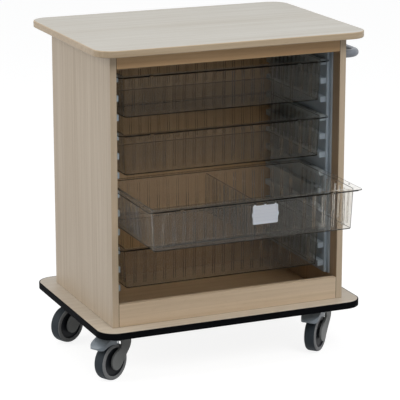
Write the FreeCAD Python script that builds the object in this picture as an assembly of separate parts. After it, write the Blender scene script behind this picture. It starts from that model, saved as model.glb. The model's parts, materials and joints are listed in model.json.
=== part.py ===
import FreeCAD, Part
import math
import os

# Mobile tray storage unit. Millimetres, +X right, -Y front, +Z up, floor at z = 0.
# The carcass is laid out about its own centre line and moved to the object's origin on export.

# Boards
board_t = 18.0
cabinet_w = 668.0
cabinet_d = 442.0
side_h = 722.0
inner_half_w = cabinet_w / 2 - board_t
front_y = -cabinet_d / 2
back_y = cabinet_d / 2
castor_h = 132.0
base_z = castor_h + board_t
side_top_z = base_z + side_h
top_z = side_top_z + board_t

# Worktop and base, one outline
deck_half_w = 380.0
deck_front_y = -270.0
deck_back_y = 278.0
deck_corner_r = 50.0
lipping_t = 3.0
lipping_round = 2.6
edging_t = 3.0
edging_round = 1.2
barb_depth = 8.0
barb_t = 2.4
barb_root = 0.5
barb_slot_gap = 1.0

# Rails, plinth, back panel
top_rail_h = 39.0
plinth_h = 60.0
back_t = 8.0
back_inner_y = 203.0
groove_depth = 8.0
dowel_r = 4.0
dowel_len = 30.0
rail_dowel_drops = (10.0, 29.0)
plinth_dowel_rises = (15.0, 45.0)

# Tray guides
guide_t = 11.0
guide_edge_chamfer = 1.5
guide_flange_t = 4.6
guide_screw_rows = (1, 6, 10)
guide_screw_y = 150.0
guide_front_y = -182.0
guide_face_y = -169.0
guide_back_y = 180.0
guide_low_z = base_z + 62.0
guide_high_z = base_z + 696.0
ledge_pitch = 50.8
ledge_count = 12
ledge_h = 15.0
ledge_reach = 16.5
ledge_front_y = -163.0
ledge_back_y = 176.0
ledge_nose = 1.5
ledge_top_z = base_z + 653.3

# Trays, local frame: rim top z = 0, rim front edge y = 0
rim_half_w = 300.0
rim_d = 357.0
rim_t = 2.5
rim_corner_r = 10.0
rim_lift = 0.2
tray_h = 110.0
tray_wall = 2.5
tray_top_half_w = 283.0
tray_low_half_w = 278.0
tray_top_inset = 17.0
tray_low_inset = 19.5
tray_corner_r = 8.0
tray_foot_r = 3.0
tray_inner_foot_r = 1.0
tray_pitch = 3 * ledge_pitch
tray_closed_y = -197.0
tray_pulled = 200.0
pulled_tray = 3
lip_h = 4.0
lip_t = 2.0
lip_half_w = 286.0
notch_x = 210.0
notch_w = 10.0
notch_d = 6.0
rim_hole_r = 2.5
rim_hole_x = 291.5
rim_hole_y = 64.0
end_rib_pitch = 28.1
side_rib_pitch = 24.6
rib_t = 1.5
rib_reach = 3.0
rib_root = 1.0
rib_slot = 4.3
rib_lead = 3.0
rib_shelf = 1.0
rib_shelf_z = -52.0
rib_top = -8.0
rib_low = -98.0
end_rib_pairs = 9
side_rib_pairs = 6

# Lift-out divider and label holder on the pulled tray
divider_t = 3.5
divider_top = -5.0
divider_gap = 0.6
divider_chamfer = 8.0
divider_rib_t = 1.5
divider_rib_reach = 1.0
divider_rib_margin = 4.0
holder_x = 26.5
holder_w = 70.0
holder_h = 49.0
holder_drop = 17.5
holder_corner_r = 2.5
holder_back_t = 1.4
holder_lip_t = 1.2
holder_border = 3.5
holder_wall = 1.5
holder_depth = 3.4
tooth_w = 5.0
tooth_h = 2.6
tooth_spread = 29.0
ear_r = 14.0
ear_inset = 11.5
card_t = 0.6
card_gap = 0.3
card_drop = 2.0

# Push handle on the right side panel
handle_r = 11.0
handle_bore_r = 8.8
handle_reach = 76.0
handle_bend_r = 28.0
handle_half_span = 166.0
handle_z = base_z + 664.0
mount_r = 18.0
mount_t = 6.0
mount_round = 2.0
spigot_r = 8.5
spigot_len = 24.0

# Screws: head radius, shank radius, length under the head face
wood_screw = (4.8, 2.4, 50.0)
worktop_screw_x = 200.0
base_screw_y = 95.0
plinth_screw_x = 150.0
guide_screw = (4.0, 2.0, 24.0)
handle_screw = (7.5, 3.0, 46.0)
castor_screw_head_r = 4.5
castor_screw_head_h = 2.6
castor_screw_r = 2.4
castor_screw_len = 16.0

# Castors, local frame: swivel axis at x = y = 0, wheel trails towards +X
castor_x = 296.0
castor_front_y = -171.0
castor_back_y = 162.0
wheel_r = 50.0
tyre_half_w = 16.0
tyre_round = 4.5
wheel_rim_r = 38.5
wheel_rim_half_w = 14.5
wheel_rim_step = 2.5
wheel_rim_flare = 1.0
wheel_web_half = 11.5
hub_r = 12.0
hub_half_w = 18.4
axle_r = 4.0
axle_half_len = 24.0
running_gap = 0.05
trail = 38.0
plate_half = 35.0
plate_t = 3.0
plate_corner_r = 6.0
screw_offset = 28.0
head_r = 30.0
head_top_z = 128.5
head_low_z = 112.0
head_round = 3.0
crown_low_z = 104.0
crown_top_z = 122.0
crown_front_x = -22.0
crown_back_x = 22.0
crown_corner_r = 9.0
hood_back_x = 30.0
hood_low_z = 108.0
leg_in_y = 19.0
leg_out_y = 25.0
leg_edge_r = 2.0
king_r = 5.0
king_head_r = 9.0
king_head_h = 2.0
king_gap = 0.3

# Fork leg beside the wheel, (x, z) from the crown's back, round the axle pad and up the front
leg_heel = [(20.0, 106.0), (19.0, 96.0), (24.5, 88.0), (36.0, 81.5), (48.0, 74.5), (56.0, 64.0)]
leg_pad = [(58.5, 50.0), (54.0, 37.0), (43.0, 30.0), (31.0, 31.0), (21.5, 38.0)]
leg_shin = [(14.0, 47.0), (7.0, 56.0), (-3.0, 67.5), (-12.0, 78.0), (-17.5, 88.0), (-19.0, 100.0)]

# Brake pedal on the front castors, its top and bottom lines as (x, z)
pedal_pin_x = 38.0
pedal_pin_z = 107.0
pedal_pin_r = 2.5
lug_half_w = 10.0
lug_low_z = 102.2
lug_high_z = 111.0
lug_root_x = 16.0
lug_end_x = 43.0
pedal_half_w = 25.0
pedal_wall = 3.5
pedal_back_x = 33.0
pedal_tip_x = 102.5
pedal_corner_r = 21.0
pedal_edge_r = 3.0
pedal_top = [(33.0, 120.0), (50.0, 121.5), (68.0, 121.0), (84.0, 117.5), (96.0, 110.5), (102.5, 101.5)]
pedal_lip = [(101.0, 97.5), (95.0, 96.0), (88.0, 99.0), (80.0, 103.5)]
pedal_low = pedal_lip + [(70.0, 105.0), (56.0, 104.0), (44.0, 102.0), (33.0, 102.0)]
pedal_mouth_z = 113.0
pedal_travel = 10.0
shoe_half_w = 13.0
shoe_front_x = 57.0
shoe_back_x = 68.0
shoe_gap = 0.3

# Where each wheel trails, in degrees from +X
trail_angles = {"front_left": 209.0, "front_right": 223.0, "rear_left": 205.0, "rear_right": 213.0}

# The origin is under the middle of the whole object at rest, from the left front pedal to the handle
handle_outer_x = cabinet_w / 2 + handle_reach
pedal_overhang = 10.2
origin_x = (handle_outer_x - deck_half_w - pedal_overhang) / 2
origin_y = (tray_closed_y - tray_pulled + deck_back_y) / 2


# Two lengths closer than this are the same
near = 0.01


def vec(x, y, z):
    return FreeCAD.Vector(x, y, z)


def box(x0, x1, y0, y1, z0, z1):
    return Part.makeBox(x1 - x0, y1 - y0, z1 - z0, vec(x0, y0, z0))


def rod(radius, start, direction, length):
    return Part.makeCylinder(radius, length, vec(*start), vec(*direction))


def rounded_wire(x0, x1, y0, y1, z, r):
    s = r * (1 - math.sqrt(0.5))
    edges = []
    corners = [
        ((x0, y0 + r), (x0 + s, y0 + s), (x0 + r, y0), (x1 - r, y0)),
        ((x1 - r, y0), (x1 - s, y0 + s), (x1, y0 + r), (x1, y1 - r)),
        ((x1, y1 - r), (x1 - s, y1 - s), (x1 - r, y1), (x0 + r, y1)),
        ((x0 + r, y1), (x0 + s, y1 - s), (x0, y1 - r), (x0, y0 + r)),
    ]
    for a, m, b, c in corners:
        edges.append(Part.Arc(vec(*a, z), vec(*m, z), vec(*b, z)).toShape())
        edges.append(Part.makeLine(vec(*b, z), vec(*c, z)))
    return Part.Wire(edges)


def rounded_slab(x0, x1, y0, y1, z0, z1, r):
    return Part.Face(rounded_wire(x0, x1, y0, y1, z0, r)).extrude(vec(0, 0, z1 - z0))


def prism(points, extent):
    """Closed polygon through the points, extruded by the extent."""
    wire = Part.makePolygon([vec(*p) for p in points] + [vec(*points[0])])
    return Part.Face(wire).extrude(vec(*extent))


def fillet_where(shape, radius, test):
    edges = [e for e in shape.Edges if test(e)]
    return shape.makeFillet(radius, edges)


def level_edge(edge, z):
    box_z = edge.BoundBox
    return abs(box_z.ZMin - z) < near and abs(box_z.ZMax - z) < near


def placed(shape, x, y, z=0.0, turn=0.0):
    out = shape.copy()
    out.rotate(vec(0, 0, 0), vec(0, 0, 1), turn)
    out.translate(vec(x, y, z))
    return out


def countersunk(size, start, direction):
    """Countersunk screw with its head face at start, pointing along direction."""
    head_radius, shank_radius, length = size
    head_h = head_radius - shank_radius
    axis = vec(*direction)
    head = Part.makeCone(head_radius, shank_radius, head_h, vec(*start), axis)
    shank = Part.makeCylinder(shank_radius, length, vec(*start), axis)
    return head.fuse(shank).removeSplitter()


# Fasteners


def guide_screw_points():
    points = []
    for row in guide_screw_rows:
        z = ledge_top_z - ledge_h / 2 - (row + 0.5) * ledge_pitch
        for y in (-guide_screw_y, guide_screw_y):
            points.append((y, z))
    return points


def make_guide_screws():
    face_x = inner_half_w - guide_t
    out = []
    for y, z in guide_screw_points():
        out.append(countersunk(guide_screw, (-face_x, y, z), (-1, 0, 0)))
        out.append(countersunk(guide_screw, (face_x, y, z), (1, 0, 0)))
    return out


def make_worktop_screws():
    low_z = side_top_z - top_rail_h
    rail_ys = (front_y + board_t / 2, back_inner_y - board_t / 2)
    screw_xs = (-worktop_screw_x, worktop_screw_x)
    return [countersunk(wood_screw, (x, y, low_z), (0, 0, 1)) for y in rail_ys for x in screw_xs]


def make_base_screws():
    side_x = inner_half_w + board_t / 2
    points = [(side * side_x, y) for side in (-1, 1) for y in (-base_screw_y, 0.0, base_screw_y)]
    points += [(x, front_y + board_t / 2) for x in (-plinth_screw_x, plinth_screw_x)]
    return [countersunk(wood_screw, (x, y, castor_h), (0, 0, 1)) for x, y in points]


def make_dowels():
    half = dowel_len / 2
    spots = []
    for y in (front_y + board_t / 2, back_inner_y - board_t / 2):
        for drop in rail_dowel_drops:
            spots.append((y, side_top_z - drop))
    for rise in plinth_dowel_rises:
        spots.append((front_y + board_t / 2, base_z + rise))
    out = []
    for y, z in spots:
        out.append(rod(dowel_r, (-inner_half_w - half / 2, y, z), (1, 0, 0), dowel_len))
        out.append(rod(dowel_r, (inner_half_w + half / 2, y, z), (-1, 0, 0), dowel_len))
    return out


def make_handle_screws():
    return [
        countersunk(handle_screw, (inner_half_w, side * handle_half_span, handle_z), (1, 0, 0))
        for side in (-1, 1)
    ]


def castor_places():
    return {
        "front_left": (-castor_x, castor_front_y),
        "front_right": (castor_x, castor_front_y),
        "rear_left": (-castor_x, castor_back_y),
        "rear_right": (castor_x, castor_back_y),
    }


def make_castor_screws():
    head_z = castor_h - plate_t - castor_screw_head_h
    out = []
    for x, y in castor_places().values():
        for dx in (-screw_offset, screw_offset):
            for dy in (-screw_offset, screw_offset):
                head = rod(castor_screw_head_r, (x + dx, y + dy, head_z), (0, 0, 1), castor_screw_head_h)
                shank = rod(castor_screw_r, (x + dx, y + dy, head_z), (0, 0, 1), castor_screw_len)
                out.append(head.fuse(shank).removeSplitter())
    return out


# Carcass


def make_side_panel(side, holes):
    xs = sorted((side * inner_half_w, side * cabinet_w / 2))
    panel = box(xs[0], xs[1], front_y, back_y, base_z, side_top_z)
    groove_x = sorted((side * inner_half_w, side * (inner_half_w + groove_depth)))
    groove = box(groove_x[0], groove_x[1], back_inner_y, back_inner_y + back_t, base_z, side_top_z)
    return panel.cut([groove] + holes)


def make_back_panel():
    half_w = inner_half_w + groove_depth
    return box(-half_w, half_w, back_inner_y, back_inner_y + back_t, base_z, side_top_z)


def make_cross_board(y0, z0, z1, holes):
    return box(-inner_half_w, inner_half_w, y0, y0 + board_t, z0, z1).cut(holes)


def deck_slab(inset, z0, z1):
    return rounded_slab(
        -deck_half_w + inset,
        deck_half_w - inset,
        deck_front_y + inset,
        deck_back_y - inset,
        z0,
        z1,
        deck_corner_r - inset,
    )


def make_worktop(holes):
    return deck_slab(lipping_t, side_top_z, top_z).cut(holes)


def make_lipping():
    outer = deck_slab(0.0, side_top_z, top_z)
    outer = fillet_where(outer, lipping_round, lambda e: level_edge(e, top_z) or level_edge(e, side_top_z))
    return outer.cut(deck_slab(lipping_t, side_top_z - 1.0, top_z + 1.0))


def edging_barb(reach):
    mid = castor_h + board_t / 2
    outer = deck_slab(edging_t - barb_root, mid - barb_t / 2, mid + barb_t / 2)
    return outer.cut(deck_slab(edging_t + reach, mid - barb_t, mid + barb_t))


def make_base_board(holes):
    return deck_slab(edging_t, castor_h, base_z).cut([edging_barb(barb_depth + barb_slot_gap)] + holes)


def make_edging():
    outer = deck_slab(0.0, castor_h, base_z)
    outer = fillet_where(outer, edging_round, lambda e: level_edge(e, castor_h) or level_edge(e, base_z))
    band = outer.cut(deck_slab(edging_t, castor_h - 1.0, base_z + 1.0))
    return band.fuse(edging_barb(barb_depth)).removeSplitter()


# Tray guides


def make_guide(side, holes):
    face_x = inner_half_w - guide_t
    sheet = guide_layer(side, face_x, guide_face_y, guide_back_y)
    front_edges = [e for e in sheet.Edges if sheet_front_edge(e, side * face_x)]
    sheet = sheet.makeChamfer(guide_edge_chamfer, front_edges)
    flange_back_y = guide_face_y + guide_edge_chamfer
    raised = [guide_layer(side, inner_half_w - guide_flange_t, guide_front_y, flange_back_y)]
    for i in range(ledge_count):
        high = ledge_top_z - i * ledge_pitch
        raised.append(make_ledge(side, face_x, high))
    return sheet.fuse(raised).removeSplitter().cut(holes)


def guide_layer(side, face_x, front, back):
    """Full height slab of the guide, from its face back to the side panel."""
    xs = sorted((side * face_x, side * inner_half_w))
    return box(xs[0], xs[1], front, back, guide_low_z, guide_high_z)


def sheet_front_edge(edge, x):
    b = edge.BoundBox
    on_face = abs(b.XMin - x) < near and abs(b.XMax - x) < near
    return on_face and abs(b.YMax - guide_face_y) < near


def make_ledge(side, face_x, high):
    root = side * face_x
    tip = side * (face_x - ledge_reach)
    low = high - ledge_h
    nose = side * (face_x - ledge_reach + ledge_nose)
    outline = [
        (root, ledge_front_y, low),
        (nose, ledge_front_y, low),
        (tip, ledge_front_y + ledge_nose, low),
        (tip, ledge_back_y, low),
        (root, ledge_back_y, low),
    ]
    return prism(outline, (0, 0, ledge_h))


# Trays


def wall_inset(z):
    """How far the tray's end walls stand behind the rim edge at height z."""
    return tray_top_inset + (tray_low_inset - tray_top_inset) * (-z / tray_h)


def wall_half_w(z):
    return tray_top_half_w + (tray_low_half_w - tray_top_half_w) * (-z / tray_h)


def tray_body(shrink, low_z, foot_r):
    def ring(z):
        half = wall_half_w(z) - shrink
        inset = wall_inset(z) + shrink
        return rounded_wire(-half, half, inset, rim_d - inset, z, tray_corner_r - shrink)

    body = Part.makeLoft([ring(low_z), ring(0.0)], True, True)
    return fillet_where(body, foot_r, lambda e: level_edge(e, low_z))


def make_tray_rim():
    rim = rounded_slab(-rim_half_w, rim_half_w, 0, rim_d, -rim_t, 0, rim_corner_r)
    lip = box(-lip_half_w, lip_half_w, 0, lip_t, -lip_h, -rim_t / 2)
    rim = rim.fuse(lip).removeSplitter()
    cuts = []
    for side in (-1, 1):
        x = side * notch_x
        cuts.append(box(x - notch_w / 2, x + notch_w / 2, -1, notch_d, -lip_h - 1, 1))
        for y in (rim_hole_y, rim_d - rim_hole_y):
            cuts.append(rod(rim_hole_r, (side * rim_hole_x, y, -rim_t - 1), (0, 0, 1), rim_t + 2))
    return rim.cut(cuts)


def rib_outline(point):
    """Side view of a slot rib, which steps in above its lower half."""
    upper = rib_reach - rib_shelf
    steps = [
        (rib_top, -rib_root),
        (rib_top - rib_lead, upper),
        (rib_shelf_z, upper),
        (rib_shelf_z - rib_shelf, rib_reach),
        (rib_low, rib_reach),
        (rib_low, -rib_root),
    ]
    return [point(z, reach) for z, reach in steps]


def end_rib(x, back):
    def point(z, reach):
        y = wall_inset(z) + tray_wall + reach
        return (x, rim_d - y if back else y, z)

    return prism(rib_outline(point), (rib_t, 0, 0))


def side_rib(y, side):
    def point(z, reach):
        return (side * (wall_half_w(z) - tray_wall - reach), y, z)

    return prism(rib_outline(point), (0, rib_t, 0))


def make_tray_ribs():
    ribs = []
    offsets = (-rib_slot / 2 - rib_t, rib_slot / 2)
    for k in range(-end_rib_pairs, end_rib_pairs + 1):
        for offset in offsets:
            for back in (False, True):
                ribs.append(end_rib(k * end_rib_pitch + offset, back))
    for y in side_slot_places():
        for offset in offsets:
            for side in (-1, 1):
                ribs.append(side_rib(y + offset, side))
    return ribs


def side_slot_places():
    """Middles of the slots along a side wall, an even number of them."""
    return [rim_d / 2 + (k + 0.5) * side_rib_pitch for k in range(-side_rib_pairs, side_rib_pairs)]


def make_tray():
    outer = tray_body(0.0, -tray_h, tray_foot_r)
    inner = tray_body(tray_wall, -tray_h + tray_wall, tray_inner_foot_r)
    shell = outer.fuse(make_tray_rim()).cut(inner)
    return shell.fuse(make_tray_ribs()).removeSplitter()


def tray_rim_z(number):
    return ledge_top_z + rim_lift + rim_t - (number - 1) * tray_pitch


def tray_y(number):
    return tray_closed_y - (tray_pulled if number == pulled_tray else 0.0)


def make_divider():
    floor = -tray_h + tray_wall
    low_inset = wall_inset(floor) + tray_wall + divider_gap
    top_inset = wall_inset(divider_top) + tray_wall + divider_gap
    cut = divider_chamfer
    outline = [
        (-divider_t / 2, low_inset + cut, floor),
        (-divider_t / 2, rim_d - low_inset - cut, floor),
        (-divider_t / 2, rim_d - low_inset, floor + cut),
        (-divider_t / 2, rim_d - top_inset, divider_top),
        (-divider_t / 2, top_inset, divider_top),
        (-divider_t / 2, low_inset, floor + cut),
    ]
    half = divider_t / 2 + divider_rib_reach
    low = floor + divider_rib_margin
    high = divider_top - divider_rib_margin
    ribs = []
    for y in side_slot_places():
        ribs.append(box(-half, half, y - divider_rib_t / 2, y + divider_rib_t / 2, low, high))
    return prism(outline, (divider_t, 0, 0)).fuse(ribs).removeSplitter()


# Label holder, local frame: x across, y = 0 on the tray wall and -Y outwards, z = 0 at its top edge


def make_holder_flat():
    half = holder_w / 2
    inner = half - holder_wall
    inner_low = holder_wall - holder_h
    plate = rounded_plate(half, holder_h, holder_corner_r, -holder_back_t, 0.0)
    frame = rounded_plate(half, holder_h, holder_corner_r, -holder_depth, 0.0)
    pocket = box(-inner, inner, holder_lip_t - holder_depth, -holder_back_t, inner_low, 1)
    edge = holder_border
    window = box(-half + edge, half - edge, -holder_depth - 1, -holder_back_t, -holder_h + edge, 1)
    holder = plate.fuse(frame.cut([pocket, window]))
    teeth = [holder_tooth(x) for x in (-tooth_spread, 0.0, tooth_spread)]
    ear_x = half - ear_inset
    ears = [rod(ear_r, (side * ear_x, 0, -holder_h / 2), (0, -1, 0), holder_depth) for side in (-1, 1)]
    room = box(-inner, inner, -holder_depth - 1, -holder_back_t, inner_low, 1)
    return holder.fuse(teeth + [ear.cut(room) for ear in ears]).removeSplitter()


def rounded_plate(half, height, r, y0, y1):
    slab = rounded_slab(-half, half, -height, 0, y0, y1, r)
    slab.rotate(vec(0, 0, 0), vec(1, 0, 0), 90)
    slab.translate(vec(0, y0 + y1, 0))
    return slab


def holder_tooth(x):
    return box(x - tooth_w / 2, x + tooth_w / 2, -holder_back_t, 0, -holder_corner_r, tooth_h)


def on_front_wall(shape):
    """Lean a piece back to the slope of the tray's front wall and set it in place."""
    lean = math.degrees(math.atan2(tray_low_inset - tray_top_inset, tray_h))
    out = shape.copy()
    out.rotate(vec(0, 0, 0), vec(1, 0, 0), lean)
    out.translate(vec(holder_x, wall_inset(-holder_drop), -holder_drop))
    return out


def make_card_flat():
    half = holder_w / 2 - holder_wall - card_gap
    low = -holder_h + holder_wall + card_gap
    return box(-half, half, -holder_back_t - card_t, -holder_back_t, low, -card_drop)


# Push handle


def handle_path():
    x0 = cabinet_w / 2 + mount_t
    x1 = handle_outer_x - handle_r
    span = handle_half_span
    r = handle_bend_r
    s = r * (1 - math.sqrt(0.5))
    z = handle_z
    edges = [
        Part.makeLine(vec(x0, -span, z), vec(x1 - r, -span, z)),
        Part.Arc(vec(x1 - r, -span, z), vec(x1 - s, -span + s, z), vec(x1, -span + r, z)).toShape(),
        Part.makeLine(vec(x1, -span + r, z), vec(x1, span - r, z)),
        Part.Arc(vec(x1, span - r, z), vec(x1 - s, span - s, z), vec(x1 - r, span, z)).toShape(),
        Part.makeLine(vec(x1 - r, span, z), vec(x0, span, z)),
    ]
    return Part.Wire(edges)


def swept_round(path, radius):
    start = path.Edges[0].Vertexes[0].Point
    ring = Part.Wire(Part.makeCircle(radius, start, vec(1, 0, 0)))
    return path.makePipeShell([ring], True, False)


def make_handle_tube():
    path = handle_path()
    return swept_round(path, handle_r).cut(swept_round(path, handle_bore_r))


def make_handle_mount(side, screws):
    start = (cabinet_w / 2, side * handle_half_span, handle_z)
    disc = rod(mount_r, start, (1, 0, 0), mount_t)
    disc = fillet_where(disc, mount_round, lambda e: e.BoundBox.XMin > cabinet_w / 2 + mount_t - near)
    spigot = rod(spigot_r, start, (1, 0, 0), mount_t + spigot_len)
    return disc.fuse(spigot).removeSplitter().cut(screws)


# Castors


def make_castor_plate(screws):
    low = castor_h - plate_t
    plate = rounded_slab(-plate_half, plate_half, -plate_half, plate_half, low, castor_h, plate_corner_r)
    return plate.cut([rod(king_r, (0, 0, low - 1), (0, 0, 1), plate_t + 2)] + screws)


def make_kingpin():
    low = crown_low_z - king_gap - king_head_h
    head = rod(king_head_r, (0, 0, low), (0, 0, 1), king_head_h)
    return head.fuse(rod(king_r, (0, 0, low), (0, 0, 1), castor_h - low)).removeSplitter()


def smooth_edge(points, y):
    """One smooth curve through (x, z) points in the plane y."""
    curve = Part.BSplineCurve()
    curve.interpolate([vec(x, y, z) for x, z in points])
    return curve.toShape()


def make_fork_leg(side):
    y_in, y_out = side * leg_in_y, side * leg_out_y
    points = leg_heel + leg_pad + leg_shin
    first, last = points[0], points[-1]
    corners = [(last[0], crown_top_z), (first[0], crown_top_z)]
    edges = [smooth_edge(points, y_in)]
    run = [last] + corners + [first]
    for a, b in zip(run, run[1:]):
        edges.append(Part.makeLine(vec(a[0], y_in, a[1]), vec(b[0], y_in, b[1])))
    leg = Part.Face(Part.Wire(edges)).extrude(vec(0, y_out - y_in, 0))
    return fillet_where(leg, leg_edge_r, lambda e: outer_leg_edge(e, y_out))


def outer_leg_edge(edge, y_out):
    b = edge.BoundBox
    return abs(b.YMin - y_out) < near and abs(b.YMax - y_out) < near


def make_fork(with_lug):
    half_y = leg_out_y
    r = crown_corner_r
    crown = rounded_slab(crown_front_x, crown_back_x, -half_y, half_y, crown_low_z, crown_top_z, r)
    head = rod(head_r, (0, 0, head_low_z), (0, 0, 1), head_top_z - head_low_z)
    head = fillet_where(head, head_round, lambda e: level_edge(e, head_top_z))
    pieces = [head, make_fork_leg(1), make_fork_leg(-1)]
    if with_lug:
        pieces.append(box(0, hood_back_x, -half_y, half_y, hood_low_z, crown_top_z))
        pieces.append(box(lug_root_x, lug_end_x, -lug_half_w, lug_half_w, lug_low_z, lug_high_z))
    fork = crown.fuse(pieces).removeSplitter()
    cuts = [
        rod(king_r + running_gap, (0, 0, crown_low_z - 1), (0, 0, 1), head_top_z),
        rod(axle_r, (trail, -axle_half_len, wheel_r), (0, 1, 0), 2 * axle_half_len),
    ]
    if with_lug:
        cuts.append(make_pedal_pin())
    return fork.cut(cuts)


def make_axle():
    return rod(axle_r, (trail, -axle_half_len, wheel_r), (0, 1, 0), 2 * axle_half_len)


def turned(profile):
    """Ring about the wheel axle from (radius, y) points."""
    points = [(trail, y, wheel_r + r) for r, y in profile]
    wire = Part.makePolygon([vec(*p) for p in points] + [vec(*points[0])])
    return Part.Face(wire).revolve(vec(trail, 0, wheel_r), vec(0, 1, 0), 360)


def make_wheel():
    bore = axle_r + running_gap
    inner_rim = wheel_rim_r - wheel_rim_step
    half = [
        (bore, hub_half_w),
        (hub_r, hub_half_w),
        (hub_r, wheel_web_half),
        (inner_rim - wheel_rim_flare, wheel_web_half),
        (inner_rim, wheel_rim_half_w),
        (wheel_rim_r, wheel_rim_half_w),
    ]
    return turned(half + [(r, -y) for r, y in reversed(half)])


def make_tyre():
    w = tyre_half_w
    ring = turned([(wheel_rim_r, -w), (wheel_r, -w), (wheel_r, w), (wheel_rim_r, w)])
    return fillet_where(ring, tyre_round, lambda e: e.Closed and abs(e.BoundBox.ZLength - 2 * wheel_r) < near)


def make_pedal_pin():
    return rod(pedal_pin_r, (pedal_pin_x, -pedal_half_w, pedal_pin_z), (0, 1, 0), 2 * pedal_half_w)


def pedal_slab(half_w, wall):
    """The pedal's side view, shrunk by the wall and given a width, with its tip rounded in plan."""
    top = [(x - wall * (x - pedal_back_x) / (pedal_tip_x - pedal_back_x), z - wall) for x, z in pedal_top]
    low = [(x - wall * (x - pedal_back_x) / (pedal_tip_x - pedal_back_x), z) for x, z in pedal_low]
    edges = [smooth_edge(top, -half_w), smooth_edge([top[-1]] + low, -half_w)]
    edges.append(Part.makeLine(vec(low[-1][0], -half_w, low[-1][1]), vec(top[0][0], -half_w, top[0][1])))
    side_view = Part.Face(Part.Wire(edges)).extrude(vec(0, 2 * half_w, 0))
    r = pedal_corner_r - wall
    plan = rounded_slab(pedal_back_x - 2 * r, pedal_tip_x - wall, -half_w, half_w, wheel_r, castor_h, r)
    return side_view.common(plan)


def make_shoe():
    """Block over the tread, hollowed so that it stops just clear of the tyre at full travel."""
    shoe = box(shoe_front_x, shoe_back_x, -shoe_half_w, shoe_half_w, wheel_r, crown_top_z - pedal_wall)
    reach = rod(wheel_r + shoe_gap, (trail, -pedal_half_w, wheel_r), (0, 1, 0), 2 * pedal_half_w)
    reach.rotate(vec(pedal_pin_x, 0, pedal_pin_z), vec(0, 1, 0), -pedal_travel)
    return shoe.cut(reach)


def make_pedal():
    w = pedal_half_w
    inner_w = w - pedal_wall
    body = pedal_slab(w, 0.0)
    body = fillet_where(body, pedal_edge_r, outer_pedal_edge)
    hollow = pedal_slab(inner_w, pedal_wall)
    low = hollow.copy()
    low.translate(vec(0, 0, -pedal_wall))
    mouth = box(pedal_back_x - 1, pedal_back_x + pedal_wall + 1, -inner_w, inner_w, wheel_r, pedal_mouth_z)
    body = body.cut([hollow, low, mouth])
    bore = rod(pedal_pin_r + running_gap, (pedal_pin_x, -w - 1, pedal_pin_z), (0, 1, 0), 2 * w + 2)
    return body.fuse(make_shoe()).removeSplitter().cut(bore)


def outer_pedal_edge(edge):
    b = edge.BoundBox
    return b.ZMax > pedal_mouth_z and b.XMax > pedal_back_x + 1.0


# Assembly


def carcass_parts():
    dowels = make_dowels()
    worktop_screws = make_worktop_screws()
    base_screws = make_base_screws()
    guide_screws = make_guide_screws()
    handle_screws = make_handle_screws()
    castor_screws = make_castor_screws()
    side_holes = dowels + base_screws + guide_screws
    rail_holes = dowels + worktop_screws
    rail_low_z = side_top_z - top_rail_h
    parts = {
        "side_panel_left": make_side_panel(-1, side_holes),
        "side_panel_right": make_side_panel(1, side_holes + handle_screws),
        "back_panel": make_back_panel(),
        "front_rail": make_cross_board(front_y, rail_low_z, side_top_z, rail_holes),
        "rear_rail": make_cross_board(back_inner_y - board_t, rail_low_z, side_top_z, rail_holes),
        "plinth": make_cross_board(front_y, base_z, base_z + plinth_h, dowels + base_screws),
        "worktop": make_worktop(worktop_screws),
        "worktop_lipping": make_lipping(),
        "base_board": make_base_board(base_screws + castor_screws),
        "base_edging": make_edging(),
        "guide_left": make_guide(-1, guide_screws),
        "guide_right": make_guide(1, guide_screws),
        "handle_tube": make_handle_tube(),
        "handle_mount_front": make_handle_mount(-1, handle_screws),
        "handle_mount_rear": make_handle_mount(1, handle_screws),
        "dowels": Part.makeCompound(dowels),
        "worktop_screws": Part.makeCompound(worktop_screws),
        "base_screws": Part.makeCompound(base_screws),
        "guide_screws": Part.makeCompound(guide_screws),
        "handle_screws": Part.makeCompound(handle_screws),
        "castor_screws": Part.makeCompound(castor_screws),
    }
    return parts


def tray_parts():
    tray = make_tray()
    parts = {}
    for number in (1, 2, 3, 4):
        parts[f"tray_{number}"] = placed(tray, 0, tray_y(number), tray_rim_z(number))
    y, z = tray_y(pulled_tray), tray_rim_z(pulled_tray)
    parts["tray_divider"] = placed(make_divider(), 0, y, z)
    parts["label_holder"] = placed(on_front_wall(make_holder_flat()), 0, y, z)
    parts["label_card"] = placed(on_front_wall(make_card_flat()), 0, y, z)
    return parts


def castor_parts():
    parts = {}
    kingpins = []
    screws = make_castor_screws()
    for name, (x, y) in castor_places().items():
        front = name.startswith("front")
        turn = trail_angles[name]
        local = {
            "fork": make_fork(front),
            "axle": make_axle(),
            "wheel": make_wheel(),
            "tyre": make_tyre(),
        }
        if front:
            local["pedal"] = make_pedal()
            local["pedal_pin"] = make_pedal_pin()
        for piece, shape in local.items():
            parts[f"castor_{name}_{piece}"] = placed(shape, x, y, 0, turn)
        parts[f"castor_{name}_plate"] = placed(make_castor_plate([]), x, y).cut(screws)
        kingpins.append(placed(make_kingpin(), x, y))
    parts["kingpins"] = Part.makeCompound(kingpins)
    return parts


def main():
    os.makedirs("parts", exist_ok=True)
    parts = {}
    parts.update(carcass_parts())
    parts.update(tray_parts())
    parts.update(castor_parts())
    for name, shape in parts.items():
        moved = shape.copy()
        moved.translate(vec(-origin_x, -origin_y, 0))
        moved.exportStep(f"parts/{name}.step")


main()
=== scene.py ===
import json
import math

import bmesh
import bpy
from mathutils import Matrix, Vector


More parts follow.
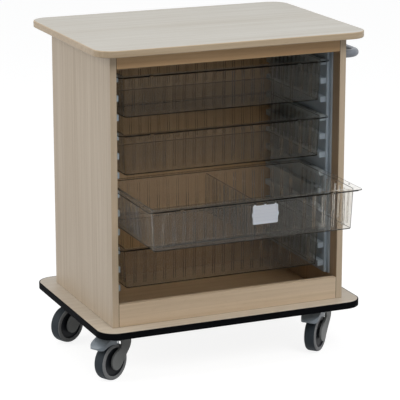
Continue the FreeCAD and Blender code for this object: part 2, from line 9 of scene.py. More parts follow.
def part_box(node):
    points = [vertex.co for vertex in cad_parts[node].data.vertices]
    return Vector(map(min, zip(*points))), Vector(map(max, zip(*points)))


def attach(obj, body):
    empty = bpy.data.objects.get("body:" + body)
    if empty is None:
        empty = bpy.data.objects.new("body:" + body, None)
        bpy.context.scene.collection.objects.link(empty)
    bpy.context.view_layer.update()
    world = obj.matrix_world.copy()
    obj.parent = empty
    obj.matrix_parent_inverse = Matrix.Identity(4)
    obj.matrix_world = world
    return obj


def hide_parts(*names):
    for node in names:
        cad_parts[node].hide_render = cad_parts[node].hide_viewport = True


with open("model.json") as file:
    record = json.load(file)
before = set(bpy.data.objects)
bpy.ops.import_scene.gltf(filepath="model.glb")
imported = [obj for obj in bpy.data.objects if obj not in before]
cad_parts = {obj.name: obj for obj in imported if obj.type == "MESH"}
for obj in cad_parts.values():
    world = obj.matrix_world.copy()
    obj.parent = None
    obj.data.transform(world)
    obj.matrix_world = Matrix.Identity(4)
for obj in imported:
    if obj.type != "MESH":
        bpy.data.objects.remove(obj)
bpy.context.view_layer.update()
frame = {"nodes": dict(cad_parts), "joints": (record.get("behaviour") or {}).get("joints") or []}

MM = 0.001


# Eased edges, in millimetres
board_edge = 0.7
lipping_edge = 2.6
bumper_edge = 1.2
guide_edge = 0.8
divider_edge = 0.5
label_frame_edge = 0.25
handle_foot_edge = 0.5
castor_edge = 1.2

# Worktop and base: radius of their corners, outside the strip that is glued round them, and its thickness
deck_corner = 50.0
strip_w = 3.0

# Trays: the one that is pulled out and bears the label, and how far the dark edge finish, painted shade,
# reaches down from the rim and up from the foot
pulled_tray = 3
tray_rim_h = 4.2
tray_foot_h = 3.0

handle_bend_r = 28.0

# Castors: the direction in which each wheel trails, in degrees, and the wheel's place and size
castors = {"front_left": 209.0, "front_right": 223.0, "rear_left": 205.0, "rear_right": 213.0}
wheel_trail = 38.0
wheel_radius = 50.0

# Where a tyre turns from tread to side wall, across from its middle: the side wall keeps the rubber's
# grey, the tread is the same rubber darkened as painted shade
side_wall_y = 13.4

# Bill of a brake pedal: from its root to its tip along the trail, half its width, the height of its lip,
# and the cuts along it that let it be crowned
bill_start = 62.0
bill_tip = 102.5
bill_half_w = 25.0
bill_lip_z = 96.0
bill_cut_gap = 6.0
bill_cuts_a_side = 3

# Share of its height over the lip that the bill loses at its tip's corners, and how much of that share
# it loses in the middle
bill_droop = 0.5
bill_middle_share = 0.3

# Steps of the rounded shapes
deck_corner_steps = 14
deck_rim_steps = 4
castor_edge_steps = 3
wheel_steps = 72
handle_steps = 32
handle_bend_steps = 14

# Turns in degrees past which a piece shows a crease
plain_crease = 32.0
tray_crease = 26.0
handle_crease = 60.0
wheel_crease = 40.0

# Limits for telling edges and vertices apart: gaps in metres, turns in degrees
same_place = 1e-6
weld_gap = 2e-6
seam_gap = 1e-7
flat_turn = 0.5
sharp_turn = 30.0
square_turn = 60.0

# Shares of a face's normal: flat, facing one way, and the two limits of an eased edge
flat_share = 0.999
facing_share = 0.7
slant_low = 0.2
slant_high = 0.95

# The same on the clear pieces: rim faces that are not flat, and the eased edges of foot and divider
tray_rim_share = 0.5
tray_foot_low = 0.12
tray_foot_high = 0.97
divider_low = 0.3

white = (1.0, 1.0, 1.0)


# Nodes of a finish


class Finish:
    """A material under construction, with the few node shapes the finishes share."""

    def __init__(self, name):
        self.material = bpy.data.materials.new(name)
        self.material.use_nodes = True
        self.tree = self.material.node_tree
        self.shader = self.tree.nodes["Principled BSDF"]
        self.place = self.tree.nodes.new("ShaderNodeTexCoord").outputs["Object"]

    def node(self, kind, **settings):
        made = self.tree.nodes.new(kind)
        for key, value in settings.items():
            setattr(made, key, value)
        return made

    def join(self, out, into):
        self.tree.links.new(out, into)

    def feed(self, value, socket):
        """Join a node's output to the socket, or write a colour or number on it."""
        if isinstance(value, bpy.types.NodeSocket):
            self.join(value, socket)
        elif isinstance(value, tuple):
            socket.default_value = (*value, 1.0)
        else:
            socket.default_value = value

    def noise(self, stretch, detail=4.0, rough=0.55, bend=0.0):
        """Noise with its own number of waves a metre along each axis."""
        mapping = self.node("ShaderNodeMapping")
        mapping.inputs["Scale"].default_value = stretch
        self.join(self.place, mapping.inputs["Vector"])
        made = self.node("ShaderNodeTexNoise")
        made.inputs["Scale"].default_value = 1.0
        made.inputs["Detail"].default_value = detail
        made.inputs["Roughness"].default_value = rough
        made.inputs["Distortion"].default_value = bend
        self.join(mapping.outputs["Vector"], made.inputs["Vector"])
        return made.outputs["Fac"]

    def ramp(self, value, *stops):
        """A colour between two stops, each a place and a colour."""
        made = self.node("ShaderNodeValToRGB")
        for element, (place, color) in zip(made.color_ramp.elements, stops):
            element.position = place
            element.color = (*color, 1.0)
        self.join(value, made.inputs["Fac"])
        return made.outputs["Color"]

    def multiplied(self, amount, first, second):
        """Two colours multiplied: a Mix node takes them at inputs 6 and 7 and gives one at output 2."""
        made = self.node("ShaderNodeMix", data_type="RGBA", blend_type="MULTIPLY")
        self.feed(amount, made.inputs[0])
        self.feed(first, made.inputs[6])
        self.feed(second, made.inputs[7])
        return made.outputs[2]

    def span(self, value, low, high, from_low=0.3, from_high=0.7):
        """A number that runs from low to high while the value runs over its own range."""
        made = self.node("ShaderNodeMapRange")
        made.inputs["From Min"].default_value = from_low
        made.inputs["From Max"].default_value = from_high
        made.inputs["To Min"].default_value = low
        made.inputs["To Max"].default_value = high
        self.join(value, made.inputs["Value"])
        return made.outputs["Result"]

    def color(self, value):
        self.feed(value, self.shader.inputs["Base Color"])

    def rough(self, value):
        self.feed(value, self.shader.inputs["Roughness"])

    def bump(self, height, depth, strength):
        """Relief of a depth in metres."""
        made = self.node("ShaderNodeBump")
        made.inputs["Distance"].default_value = depth
        made.inputs["Strength"].default_value = strength
        self.join(height, made.inputs["Height"])
        self.join(made.outputs["Normal"], self.shader.inputs["Normal"])

    def open_to_lamps(self, film):
        """Let lamp light pass straight through, dimmed by the film colour."""
        clear = self.node("ShaderNodeBsdfTransparent")
        self.feed(film, clear.inputs["Color"])
        choice = self.node("ShaderNodeMixShader")
        self.join(self.node("ShaderNodeLightPath").outputs["Is Shadow Ray"], choice.inputs[0])
        self.join(self.shader.outputs[0], choice.inputs[1])
        self.join(clear.outputs[0], choice.inputs[2])
        self.join(choice.outputs[0], self.tree.nodes["Material Output"].inputs["Surface"])

    def set(self, **values):
        for key, value in values.items():
            self.shader.inputs[key.replace("_", " ")].default_value = value
        return self.material


def shaded(color, share):
    return tuple(c * share for c in color)


def even(waves):
    """The same number of waves a metre along all three axes."""
    return (waves, waves, waves)


# Finishes


def along_grain(axis, with_grain, across_grain):
    """Few waves a metre along the grain's axis and many across it."""
    return [with_grain if number == axis else across_grain for number in range(3)]


def wood_grain(name, pale, deep, axis, sheen, figure=1.0):
    """Close wood grain running along one axis, with broad bands and short flecks."""
    f = Finish(name)
    streaks = f.noise(along_grain(axis, 2.2, 130.0), detail=6.0, rough=0.62, bend=0.25)
    bands = f.noise(along_grain(axis, 0.9, 16.0), detail=3.0, bend=0.9)
    flecks = f.noise(along_grain(axis, 46.0, 420.0), detail=1.5)
    clouds = f.noise(even(2.6), detail=2.0)
    tone = f.ramp(streaks, (0.34, deep), (0.62, pale))
    banded = f.ramp(bands, (0.30, (0.90, 0.875, 0.84)), (0.66, white))
    clouded = f.ramp(clouds, (0.32, (0.95, 0.94, 0.925)), (0.62, white))
    specks = f.ramp(flecks, (0.25, (0.80, 0.74, 0.66)), (0.37, white))
    tone = f.multiplied(0.9 * figure, tone, banded)
    tone = f.multiplied(figure, tone, clouded)
    tone = f.multiplied(0.45 * figure, tone, specks)
    f.color(tone)
    f.rough(f.span(streaks, sheen + 0.07, sheen - 0.05))
    f.bump(streaks, 0.00012, 0.35)
    return f.set(IOR=1.48)


def moulded(name, shade, sheen, pebble=0.00006, drift=0.12, gloss=0.5, bend=1.47):
    """Moulded plastic: fine pebble, slow drift of shade and handling marks."""
    f = Finish(name)
    slow = f.noise(even(9.0), detail=3.0)
    marks = f.noise((70.0, 70.0, 26.0), detail=5.0, rough=0.7, bend=1.2)
    grit = f.noise(even(1500.0), detail=2.0)
    tone = f.ramp(slow, (0.32, shaded(shade, 1 - drift)), (0.66, shaded(shade, 1 + drift)))
    scuffed = f.ramp(marks, (0.60, white), (0.74, (1.18, 1.18, 1.18)))
    f.color(f.multiplied(0.6, tone, scuffed))
    f.rough(f.span(marks, sheen - 0.05, sheen + 0.10))
    f.bump(grit, pebble, 0.6)
    return f.set(IOR=bend, Specular_IOR_Level=gloss)


# Lamp light is dimmed by a clear plastic's tint to this power at each face that it crosses
film_power = 4


def clear_plastic(name, tint, bend, sheen=0.02, veil=0.0, haze_share=0.0):
    """Clear moulded plastic with faint handling haze, which lets the lamps through."""
    f = Finish(name)
    haze = f.noise((16.0, 16.0, 30.0), detail=5.0, rough=0.65, bend=0.6)
    ripple = f.noise((55.0, 55.0, 9.0), detail=2.0)
    f.color(f.ramp(haze, (0.36, tint), (0.72, shaded(tint, 0.94))))
    f.rough(f.span(haze, sheen * 0.4, sheen * 2.4, 0.42, 0.78))
    f.bump(ripple, 0.0003, 0.2)
    f.open_to_lamps(tuple(c**film_power for c in tint))
    return f.set(IOR=bend, Transmission_Weight=1.0 - haze_share, Coat_Weight=veil, Coat_Roughness=0.03)


def zinc(name, shade):
    """Zinc plated steel, brushed and a little blotched."""
    f = Finish(name)
    brushed = f.noise((900.0, 900.0, 60.0), detail=3.0)
    blotch = f.noise(even(60.0))
    f.color(f.ramp(blotch, (0.35, shaded(shade, 0.72)), (0.65, shade)))
    f.rough(f.span(brushed, 0.28, 0.46))
    f.bump(brushed, 0.00004, 0.5)
    return f.set(Metallic=1.0)


def powder_coat(name, shade):
    """Powder coat: orange peel, soft sheen, slightly rubbed where it is held."""
    f = Finish(name)
    peel = f.noise(even(520.0), detail=2.0)
    rubbed = f.noise((22.0, 7.0, 22.0), bend=0.6)
    f.color(f.ramp(rubbed, (0.36, shaded(shade, 0.86)), (0.60, shade)))
    f.rough(f.span(rubbed, 0.30, 0.44))
    f.bump(peel, 0.00010, 0.5)
    return f.set(IOR=1.5, Coat_Weight=0.15, Coat_Roughness=0.2)


def tyre_rubber(name, dark, dusty):
    """Grey rubber, matt and fine grained, with dust in it."""
    f = Finish(name)
    dust = f.noise(even(48.0), detail=6.0, rough=0.7)
    grain = f.noise(even(800.0), detail=3.0)
    f.color(f.ramp(dust, (0.36, dark), (0.74, dusty)))
    f.rough(f.span(dust, 0.55, 0.78))
    f.bump(grain, 0.00012, 0.5)
    return f.set(IOR=1.5, Specular_IOR_Level=0.3)


def paper_card(name):
    """Blank card with faint ruled writing lines and paper tooth."""
    f = Finish(name)
    tooth = f.noise(even(900.0))
    lines = f.node("ShaderNodeTexWave", wave_type="BANDS", bands_direction="Z")
    lines.inputs["Scale"].default_value = 34.0
    f.join(f.place, lines.inputs["Vector"])
    ruled = f.ramp(lines.outputs["Fac"], (0.0, (0.70, 0.73, 0.82)), (0.03, (0.79, 0.82, 0.89)))
    toned = f.ramp(tooth, (0.35, (0.95, 0.95, 0.94)), (0.62, white))
    f.color(f.multiplied(1.0, ruled, toned))
    f.rough(f.span(tooth, 0.62, 0.78))
    f.bump(tooth, 0.00005, 0.4)
    return f.set(IOR=1.4)


# The axis that the grain follows: X on decks, rails and plinth, Z on side boards and back
grain_x = 0
grain_z = 2

maple_top = wood_grain("maple_top", (0.600, 0.582, 0.535), (0.540, 0.515, 0.462), grain_x, 0.46)
maple_side = wood_grain("maple_side", (0.640, 0.540, 0.425), (0.556, 0.455, 0.345), grain_z, 0.46)
# Back board: the same maple, darker and browner as painted shade deep inside the cabinet
maple_back_painted_shade = wood_grain("maple_back_painted_shade", (0.470, 0.320, 0.180), (0.380, 0.250, 0.135), grain_z, 0.50)
# Rails and plinth are one maple: the rails' deeper, more saturated copy is painted shade under the
# worktop's overhang
maple_rail_painted_shade = wood_grain("maple_rail_painted_shade", (0.650, 0.430, 0.228), (0.560, 0.350, 0.178), grain_x, 0.46)
# and the plinth's paler copy is painted light on its lit front
maple_plinth_painted_light = wood_grain("maple_plinth_painted_light", (0.740, 0.595, 0.440), (0.655, 0.515, 0.365), grain_x, 0.46)
maple_base = wood_grain("maple_base", (0.690, 0.625, 0.535), (0.620, 0.545, 0.450), grain_x, 0.46)
# The deck's floor inside the cabinet: the same board as outside, darker and browner as painted shade
maple_floor_painted_shade = wood_grain("maple_floor_painted_shade", (0.600, 0.450, 0.300), (0.510, 0.375, 0.240), grain_x, 0.50)
edge_band = wood_grain("edge_band", (0.655, 0.525, 0.390), (0.570, 0.460, 0.325), grain_z, 0.44, 0.8)
# Inner faces of the side boards: the same maple, darkened as painted shade inside the cabinet
maple_inner_painted_shade = wood_grain("maple_inner_painted_shade", (0.400, 0.285, 0.180), (0.330, 0.225, 0.135), grain_z, 0.50)
seam_brown = wood_grain("seam_brown", (0.170, 0.105, 0.055), (0.130, 0.080, 0.040), grain_x, 0.60, 0.6)
beech_lip = wood_grain("beech_lip", (0.590, 0.465, 0.320), (0.510, 0.385, 0.250), grain_x, 0.36)
dowel_wood = wood_grain("dowel_wood", (0.60, 0.48, 0.34), (0.50, 0.38, 0.26), grain_x, 0.60)

black_band = moulded("black_band", (0.006, 0.0065, 0.008), 0.50, pebble=0.00005, gloss=0.09, bend=1.12)
guide_blue = moulded("guide_blue", (0.365, 0.430, 0.490), 0.34, pebble=0.00004, drift=0.07)
holder_white = moulded("holder_white", (0.76, 0.80, 0.87), 0.34, pebble=0.00003, drift=0.03)
mount_grey = moulded("mount_grey", (0.13, 0.142, 0.158), 0.38)
castor_grey = moulded("castor_grey", (0.225, 0.232, 0.230), 0.42, pebble=0.00010, gloss=0.25)
pedal_grey = moulded("pedal_grey", (0.245, 0.285, 0.325), 0.36, pebble=0.00008)
wheel_black = moulded("wheel_black", (0.016, 0.018, 0.022), 0.44, gloss=0.15)

tray_clear = clear_plastic("tray_clear", (0.866, 0.847, 0.808), 1.11, veil=0.015, haze_share=0.008)
# The pulled tray: the same plastic, made milkier and glossier so it reads lighter out in the light:
# painted light
tray_painted_light = clear_plastic("tray_painted_light", (0.872, 0.856, 0.826), 1.14, veil=0.02, haze_share=0.018)
divider_clear = clear_plastic("divider_clear", (0.935, 0.925, 0.905), 1.12, veil=0.02, haze_share=0.012)
# Near-black clear finish for rims, feet and divider edges: painted shade standing for the dark lines
# along clear edges
tray_edge_painted_shade = clear_plastic("tray_edge_painted_shade", (0.040, 0.036, 0.032), 1.05, sheen=0.06)

label_paper = paper_card("label_paper")
handle_coat = powder_coat("handle_coat", (0.260, 0.285, 0.330))
zinc_bright = zinc("zinc_bright", (0.56, 0.57, 0.57))
# The tread: the tyre's grey rubber darkened to near black as painted shade; the side wall keeps the grey
tread_painted_shade = tyre_rubber("tread_painted_shade", (0.016, 0.023, 0.030), (0.036, 0.047, 0.057))
side_wall_grey = tyre_rubber("side_wall_grey", (0.245, 0.250, 0.257), (0.325, 0.330, 0.336))


# Making and placing pieces


def finished(name, bm, body, finishes, replaced, crease=plain_crease):
    """Make the bmesh a piece of the object, smooth where it turns by less than the crease in degrees."""
    mesh = bpy.data.meshes.new(name)
    bm.to_mesh(mesh)
    bm.free()
    for finish in finishes:
        mesh.materials.append(finish)
    mesh.shade_smooth()
    mesh.set_sharp_from_angle(angle=math.radians(crease))
    piece = bpy.data.objects.new(name, mesh)
    bpy.context.scene.collection.objects.link(piece)
    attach(piece, body)
    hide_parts(*replaced)
    shading = piece.modifiers.new("even_shading", "WEIGHTED_NORMAL")
    shading.keep_sharp = True


def block(low, high):
    """A bmesh box between two corners, in metres."""
    bm = bmesh.new()
    bmesh.ops.create_cube(bm, size=1.0)
    bmesh.ops.scale(bm, vec=high - low, verts=bm.verts)
    bmesh.ops.translate(bm, vec=(low + high) / 2, verts=bm.verts)
    return bm


def ease(bm, edges, offset, steps=2):
    """Round the edges over, in a few steps."""
    bmesh.ops.bevel(
        bm,
        geom=edges,
        offset=offset,
        segments=steps,
        profile=0.5,
        affect="EDGES",
        material=-1,
        clamp_overlap=True,
    )


def sliced(bm, point, normal):
    """Cut all faces along a plane and keep both sides."""
    whole = bm.verts[:] + bm.edges[:] + bm.faces[:]
    bmesh.ops.bisect_plane(bm, geom=whole, plane_co=point, plane_no=normal)


def turns_by(edge, degrees):
    """True where an edge's two faces turn by more than this many degrees."""
    return len(edge.link_faces) == 2 and edge.calc_face_angle(0.0) > math.radians(degrees)


def board(node):
    """A plain board the size of its node, with every edge eased."""
    bm = block(*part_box(node))
    ease(bm, bm.edges[:], board_edge * MM)
    return bm


def rounded_deck(node, corner, edge=0.0):
    """A board with rounded corners in plan and, where an edge is given, eased long edges."""
    bm = block(*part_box(node))
    upright = [e for e in bm.edges if abs(e.verts[0].co.z - e.verts[1].co.z) > same_place]
    ease(bm, upright, corner, deck_corner_steps)
    if edge:
        rims = [e for e in bm.edges if abs(e.verts[0].co.z - e.verts[1].co.z) < same_place]
        ease(bm, [e for e in rims if turns_by(e, square_turn)], edge, deck_rim_steps)
    return bm


def banded_rim(node, edge):
    """The strip glued round a rounded board: the outer board with its middle taken out."""
    bm = rounded_deck(node, deck_corner * MM, edge)
    flats = [f for f in bm.faces if abs(f.normal.z) > flat_share]
    bmesh.ops.inset_region(bm, faces=flats, thickness=strip_w * MM - edge, use_even_offset=True)
    caps = [f for f in bm.faces if abs(f.normal.z) > flat_share and len(f.verts) > 4]
    rings = [e for cap in caps for e in cap.edges]
    bmesh.ops.delete(bm, geom=caps, context="FACES_ONLY")
    bmesh.ops.bridge_loops(bm, edges=rings)
    bmesh.ops.recalc_face_normals(bm, faces=bm.faces[:])
    return bm


def refined(node, edge=0.0, steps=2):
    """The node's own shape, welded, and with its sharp edges eased where an edge is given."""
    bm = bmesh.new()
    bm.from_mesh(frame["nodes"][node].data)
    bmesh.ops.remove_doubles(bm, verts=bm.verts[:], dist=weld_gap)
    bmesh.ops.dissolve_limit(
        bm, angle_limit=math.radians(flat_turn), verts=bm.verts[:], edges=bm.edges[:]
    )
    if edge:
        ease(bm, [e for e in bm.edges if turns_by(e, sharp_turn)], edge * MM, steps)
    return bm


def edge_faces(bm, test, slot=1):
    """Give the faces that pass the test their own finish."""
    bm.normal_update()
    for face in bm.faces:
        if test(face):
            face.material_index = slot


def slanted(part, low=slant_low, high=slant_high):
    """True for a share of a face's normal that only an eased edge has."""
    return low < part < high


# Carcass


def make_side_boards():
    """Side boards with banded edges, a seam at the inner front edge and foot, and a darker inner face of
    painted shade.
    """
    for side, inward in (("left", 1), ("right", -1)):
        node = f"side_panel_{side}"
        bm = board(node)
        edge_faces(bm, lambda f: abs(f.normal.y) > facing_share)
        edge_faces(bm, lambda f: f.normal.y < -slant_low and slanted(f.normal.x * inward), 2)
        edge_faces(bm, lambda f: slanted(-f.normal.z), 2)
        edge_faces(bm, lambda f: f.normal.x * inward > slant_high, 3)
        finishes = [maple_side, edge_band, seam_brown, maple_inner_painted_shade]
        finished(f"{side}_side_board", bm, "cabinet", finishes, [node])


def make_cross_boards():
    """Rails, plinth and back, with a seam along their ends and lower edges."""
    # The rails, plinth and back get the copies of maple that carry painted shade and painted light
    for node, name, finish in (
        ("front_rail", "top_front_rail", maple_rail_painted_shade),
        ("rear_rail", "top_rear_rail", maple_rail_painted_shade),
        ("plinth", "plinth_board", maple_plinth_painted_light),
        ("back_panel", "back_board", maple_back_painted_shade),
    ):
        bm = board(node)
        edge_faces(bm, lambda f: slanted(abs(f.normal.x)) or slanted(-f.normal.z))
        finished(name, bm, "cabinet", [finish, seam_brown], [node])


def make_decks():
    inner_corner = (deck_corner - strip_w) * MM
    top = rounded_deck("worktop", inner_corner)
    finished("worktop_board", top, "cabinet", [maple_top], ["worktop"])
    lip = banded_rim("worktop_lipping", lipping_edge * MM)
    finished("worktop_edge", lip, "cabinet", [beech_lip], ["worktop_lipping"])
    base = rounded_deck("base_board", inner_corner)
    mark_inside_floor(base)
    finished("base_deck", base, "cabinet", [maple_base, maple_floor_painted_shade], ["base_board"])
    bumper = banded_rim("base_edging", bumper_edge * MM)
    finished("base_bumper", bumper, "cabinet", [black_band], ["base_edging"])


def mark_inside_floor(bm):
    """Split the deck's upper face where it passes under the boards, and mark the part between them for
    painted shade.
    """
    top_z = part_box("base_board")[1].z
    middle = {}
    for node in ("side_panel_left", "side_panel_right", "plinth", "back_panel"):
        low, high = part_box(node)
        middle[node] = (low + high) / 2
    west, east = middle["side_panel_left"].x, middle["side_panel_right"].x
    south, north = middle["plinth"].y, middle["back_panel"].y
    for x in (west, east):
        sliced(bm, (x, 0, 0), (1, 0, 0))
    for y in (south, north):
        sliced(bm, (0, y, 0), (0, 1, 0))

    def inside(face):
        centre = face.calc_center_median()
        return centre.z > top_z - same_place and west < centre.x < east and south < centre.y < north

    # The marked inside floor gets the darker finish, painted shade
    edge_faces(bm, inside)


# Guides and trays


def make_guides():
    for side in ("left", "right"):
        node = f"guide_{side}"
        bm = refined(node, guide_edge)
        finished(f"{side}_tray_guide", bm, "cabinet", [guide_blue], [node])


def make_tray(number):
    node = f"tray_{number}"
    foot_z, rim_z = (corner.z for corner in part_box(node))

    def on_rim(face):
        high_up = face.calc_center_median().z > rim_z - tray_rim_h * MM
        return high_up and abs(face.normal.z) < tray_rim_share

    def on_foot(face):
        low_down = face.calc_center_median().z < foot_z + tray_foot_h * MM
        return low_down and slanted(-face.normal.z, tray_foot_low, tray_foot_high)

    bm = refined(node)
    # Rim faces and eased foot edges get the near-black clear finish: painted shade
    edge_faces(bm, on_rim)
    edge_faces(bm, on_foot)
    finishes = [tray_painted_light if number == pulled_tray else tray_clear, tray_edge_painted_shade]
    finished(f"clear_tray_{number}", bm, node, finishes, [node], tray_crease)


def make_trays():
    for number in (1, 2, 3, 4):
        make_tray(number)


def make_divider():
    bm = refined("tray_divider", divider_edge)
    # The eased side edges get the near-black clear finish: painted shade
    edge_faces(bm, lambda f: slanted(abs(f.normal.x), divider_low))
    finishes = [divider_clear, tray_edge_painted_shade]
    finished("lift_out_divider", bm, "divider", finishes, ["tray_divider"])


def make_label():
    body = f"tray_{pulled_tray}"
    bm = refined("label_holder", label_frame_edge)
    finished("label_frame", bm, body, [holder_white], ["label_holder"])
    bm = refined("label_card")
    finished("blank_label", bm, body, [label_paper], ["label_card"])


# Push handle


def make_bow():
    """The bent tube: a ring drawn and bent from the front foot to the rear one."""
    low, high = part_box("handle_tube")
    radius = (high.z - low.z) / 2
    bend = handle_bend_r * MM
    z = (low.z + high.z) / 2
    bend_x = high.x - radius - bend
    front, back = low.y + radius, high.y - radius
    start = Matrix.Translation((low.x, front, z)) @ Matrix.Rotation(math.radians(90), 4, "Y")
    bm = bmesh.new()
    bmesh.ops.create_circle(bm, cap_ends=False, radius=radius, segments=handle_steps, matrix=start)
    ring = drawn(bm, bm.edges[:], (bend_x - low.x, 0, 0))
    ring = bent(bm, ring, (bend_x, front + bend, z))
    ring = drawn(bm, ring, (0, back - front - 2 * bend, 0))
    ring = bent(bm, ring, (bend_x, back - bend, z))
    drawn(bm, ring, (low.x - bend_x, 0, 0))
    bmesh.ops.holes_fill(bm, edges=[e for e in bm.edges if len(e.link_faces) == 1], sides=0)
    bmesh.ops.recalc_face_normals(bm, faces=bm.faces[:])
    finished("push_bow", bm, "cabinet", [handle_coat], ["handle_tube"], handle_crease)


def make_bow_feet():
    for end in ("front", "rear"):
        node = f"handle_mount_{end}"
        bm = refined(node, handle_foot_edge)
        finished(f"bow_foot_{end}", bm, "cabinet", [mount_grey], [node])


def drawn(bm, ring, shift):
    """Extrude an open ring of edges along a straight run and return the new ring."""
    made = bmesh.ops.extrude_edge_only(bm, edges=ring)["geom"]
    verts = [v for v in made if isinstance(v, bmesh.types.BMVert)]
    bmesh.ops.translate(bm, vec=shift, verts=verts)
    return [e for e in made if isinstance(e, bmesh.types.BMEdge) and len(e.link_faces) == 1]


def bent(bm, ring, centre):
    """Spin an open ring of edges a quarter turn round a bend and return the new ring."""
    verts = list(dict.fromkeys(v for e in ring for v in e.verts))
    made = bmesh.ops.spin(
        bm,
        geom=ring + verts,
        cent=centre,
        axis=(0, 0, 1),
        angle=math.radians(90),
        steps=handle_bend_steps,
    )
    return [e for e in made["geom_last"] if isinstance(e, bmesh.types.BMEdge)]


# Castors


def castor_matrix(name):
    """The place of a castor's own axes: X along the trail, Z up from the floor under the kingpin."""
    swivel = next(joint for joint in frame["joints"] if joint["name"] == f"castor_{name}_turn")
    x, y, _ = swivel["pos_m"]
    return Matrix.Translation((x, y, 0)) @ Matrix.Rotation(math.radians(castors[name]), 4, "Z")


def turned(half):
    """A closed ring about the wheel axle, from half a section as (radius, across) points in mm."""
    profile = half + [(r, -y) for r, y in reversed(half)]
    centre = (wheel_trail * MM, 0, wheel_radius * MM)
    bm = bmesh.new()
    verts = [bm.verts.new((wheel_trail * MM, y * MM, (wheel_radius + r) * MM)) for r, y in profile]
    edges = [bm.edges.new((a, b)) for a, b in zip(verts, verts[1:] + verts[:1])]
    bmesh.ops.spin(
        bm,
        geom=verts + edges,
        cent=centre,
        axis=(0, 1, 0),
        angle=math.tau,
        steps=wheel_steps,
        use_merge=True,
    )
    bmesh.ops.remove_doubles(bm, verts=bm.verts[:], dist=seam_gap)
    bmesh.ops.recalc_face_normals(bm, faces=bm.faces[:])
    return bm


def make_wheel():
    """Rim, dished web and hub boss, from the rim inwards."""
    rim = [(38.5, 14.4), (38.1, 14.9), (36.8, 14.9), (36.1, 14.3)]
    web = [(35.3, 12.1), (34.4, 11.6), (16.0, 11.6)]
    boss = [(14.2, 12.2), (13.0, 13.6), (12.3, 17.4), (11.7, 18.2), (10.8, 18.4), (4.05, 18.4)]
    return turned(rim + web + boss)


def make_tyre():
    """Crowned tread, round shoulder and flat side wall, from the tread inwards."""
    tread = [(50.0, 3.0), (49.96, 8.0), (49.75, 11.2), (49.1, 13.4)]
    shoulder = [(48.1, 14.9), (46.8, 15.7), (45.4, 16.0)]
    side_wall = [(41.0, 16.0), (39.6, 15.8), (38.9, 15.3), (38.5, 14.6)]
    bm = turned(tread + shoulder + side_wall)
    edge_faces(bm, lambda f: abs(f.calc_center_median().y) > side_wall_y * MM)
    return bm


def make_castor(name):
    node, place = f"castor_{name}", castor_matrix(name)
    fork_body, wheel_body, pedal_body = f"{node}_swivel", f"{node}_wheel", f"{node}_pedal"
    bm = make_wheel()
    bmesh.ops.transform(bm, matrix=place, verts=bm.verts)
    finished(f"{name}_wheel", bm, wheel_body, [wheel_black], [f"{node}_wheel"], wheel_crease)
    bm = make_tyre()
    bmesh.ops.transform(bm, matrix=place, verts=bm.verts)
    finishes = [tread_painted_shade, side_wall_grey]
    finished(f"{name}_tyre", bm, wheel_body, finishes, [f"{node}_tyre"], wheel_crease)
    bm = refined(f"{node}_fork", castor_edge, castor_edge_steps)
    finished(f"{name}_fork", bm, fork_body, [castor_grey], [f"{node}_fork"])
    if name.startswith("front"):
        bm = refined(f"{node}_pedal", castor_edge, castor_edge_steps)
        droop_pedal(bm, place)
        finished(f"{name}_pedal", bm, pedal_body, [pedal_grey], [f"{node}_pedal"])


def droop_pedal(bm, place):
    """Crown the pedal's bill: its sides fall towards its lip, most of all at the tip."""
    across_axis = place.to_3x3() @ Vector((0, 1, 0))
    for step in range(-bill_cuts_a_side, bill_cuts_a_side + 1):
        sliced(bm, place @ Vector((0, step * bill_cut_gap * MM, 0)), across_axis)
    away = place.inverted()
    for vert in bm.verts:
        local = away @ vert.co
        reach = min(max((local.x / MM - bill_start) / (bill_tip - bill_start), 0.0), 1.0)
        across = min(abs(local.y / MM) / bill_half_w, 1.0)
        height = local.z - bill_lip_z * MM
        if height > 0:
            share = bill_middle_share + (1 - bill_middle_share) * across**2
            local.z -= height * bill_droop * reach * share
            vert.co = place @ local
    bmesh.ops.dissolve_degenerate(bm, dist=weld_gap, edges=bm.edges[:])
    bm.normal_update()


# Nodes that keep their own shape


def dress_nodes():
    zinc_nodes = ["kingpins"]
    for held in ("worktop", "base", "guide", "handle", "castor"):
        zinc_nodes.append(f"{held}_screws")
    for name in castors:
        zinc_nodes += [f"castor_{name}_plate", f"castor_{name}_axle"]
        if name.startswith("front"):
            zinc_nodes.append(f"castor_{name}_pedal_pin")
    for node in zinc_nodes:
        dress(node, zinc_bright)
    dress("dowels", dowel_wood)


def dress(node, finish):
    mesh = frame["nodes"][node].data
    mesh.materials.clear()
    mesh.materials.append(finish)


# Studio


# Places and sizes in metres, turns in degrees
floor_half = 30.0
floor_grey = (0.30, 0.30, 0.30)
floor_rough = 0.9
floor_glow = 0.87
ambient_tint = (0.96, 0.98, 1.0)
ambient_level = 0.32
warm_white = (1.0, 0.99, 0.97)
near_white = (1.0, 0.995, 0.985)
camera_place = (-2.07985, -4.7595, 1.803)
camera_dip = 14.91
camera_turn = 23.33
camera_reach = 100.0

# The camera's lens and sensor, in millimetres
camera_lens = 178.8
camera_sensor = 36.0


def white_rays(tree):
    """One for the rays that see the white surroundings: camera, gloss and glass."""
    rays = tree.nodes.new("ShaderNodeLightPath")
    seen = rays.outputs["Is Camera Ray"]
    for kind in ("Is Glossy Ray", "Is Transmission Ray"):
        either = tree.nodes.new("ShaderNodeMath")
        either.operation = "MAXIMUM"
        tree.links.new(seen, either.inputs[0])
        tree.links.new(rays.outputs[kind], either.inputs[1])
        seen = either.outputs[0]
    return seen


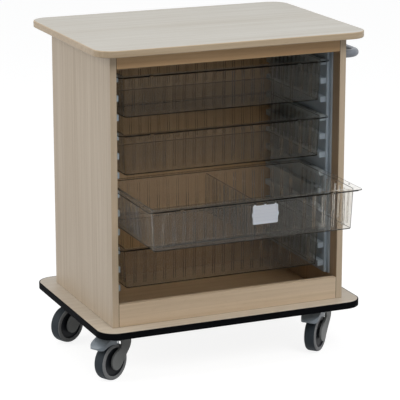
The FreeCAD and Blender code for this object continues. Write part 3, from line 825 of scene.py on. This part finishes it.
def make_floor():
    bm = bmesh.new()
    bmesh.ops.create_grid(bm, x_segments=1, y_segments=1, size=floor_half)
    mesh = bpy.data.meshes.new("studio_floor")
    bm.to_mesh(mesh)
    bm.free()
    floor = bpy.data.objects.new("studio_floor", mesh)
    bpy.context.scene.collection.objects.link(floor)
    f = Finish("studio_white")
    f.color(floor_grey)
    f.rough(floor_rough)
    glow = f.span(white_rays(f.tree), 0.0, floor_glow, 0.0, 1.0)
    f.join(glow, f.shader.inputs["Emission Strength"])
    f.feed(white, f.shader.inputs["Emission Color"])
    mesh.materials.append(f.set(Specular_IOR_Level=0.0))


def make_world():
    world = bpy.data.worlds.new("studio_world")
    bpy.context.scene.world = world
    world.use_nodes = True
    nodes, links = world.node_tree.nodes, world.node_tree.links
    ambient = nodes["Background"]
    ambient.inputs["Color"].default_value = (*ambient_tint, 1.0)
    ambient.inputs["Strength"].default_value = ambient_level
    backdrop = nodes.new("ShaderNodeBackground")
    backdrop.inputs["Color"].default_value = (*white, 1.0)
    backdrop.inputs["Strength"].default_value = 1.0
    mix = nodes.new("ShaderNodeMixShader")
    links.new(white_rays(world.node_tree), mix.inputs[0])
    links.new(ambient.outputs[0], mix.inputs[1])
    links.new(backdrop.outputs[0], mix.inputs[2])
    links.new(mix.outputs[0], nodes["World Output"].inputs["Surface"])


def softbox(name, place, aim, size, watts, color):
    data = bpy.data.lights.new(name, "AREA")
    data.shape = "RECTANGLE"
    data.size, data.size_y = size
    data.energy = watts
    data.color = color
    lamp = bpy.data.objects.new(name, data)
    lamp.location = place
    lamp.rotation_euler = (Vector(aim) - Vector(place)).to_track_quat("-Z", "Y").to_euler()
    bpy.context.scene.collection.objects.link(lamp)


def make_lamps():
    softbox("overhead_box", (-0.3, 0.1, 3.4), (0.0, 0.1, 0.4), (3.0, 3.0), 26, near_white)
    softbox("left_box", (-3.1, 0.6, 1.9), (0.0, 0.2, 0.5), (2.2, 2.2), 38, warm_white)
    softbox("front_box", (0.8, -3.0, 3.1), (0.0, 0.0, 0.4), (2.0, 1.6), 54, warm_white)


def make_camera():
    data = bpy.data.cameras.new("studio_camera")
    data.lens = camera_lens
    data.sensor_width = camera_sensor
    data.clip_end = camera_reach
    camera = bpy.data.objects.new("studio_camera", data)
    camera.location = camera_place
    camera.rotation_euler = (math.radians(90 - camera_dip), 0.0, math.radians(-camera_turn))
    bpy.context.scene.collection.objects.link(camera)
    bpy.context.scene.camera = camera


make_side_boards()
make_cross_boards()
make_decks()
make_guides()
make_trays()
make_divider()
make_label()
make_bow()
make_bow_feet()
for castor in castors:
    make_castor(castor)
dress_nodes()
make_floor()
make_world()
make_lamps()
make_camera()
bpy.context.scene.view_settings.view_transform = "Standard"
